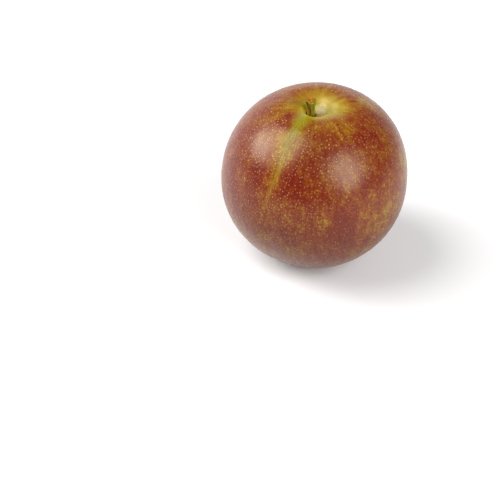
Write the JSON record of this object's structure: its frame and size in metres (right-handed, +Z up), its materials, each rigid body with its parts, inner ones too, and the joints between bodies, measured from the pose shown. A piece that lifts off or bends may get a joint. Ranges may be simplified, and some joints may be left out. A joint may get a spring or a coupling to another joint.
{
  "type": "pluot",
  "caption": "Whole ripe pluot, red-brown over yellow-green and freckled with pale dots, with a stem cavity, a faint suture and a short torn stub of stem.",
  "frame": {"origin": "on the resting surface, under the middle of the fruit", "axes": "+Z up through the stem end, -Y towards the side that is seen first, +X to its right"},
  "size_m": [0.065, 0.065, 0.0636],
  "materials": {
    "mottled_skin": "satin",
    "green_stem": "matte"
  },
  "bodies": {
    "root": {"fruit": "mottled_skin", "stem": "green_stem"}
  },
  "joints": []
}
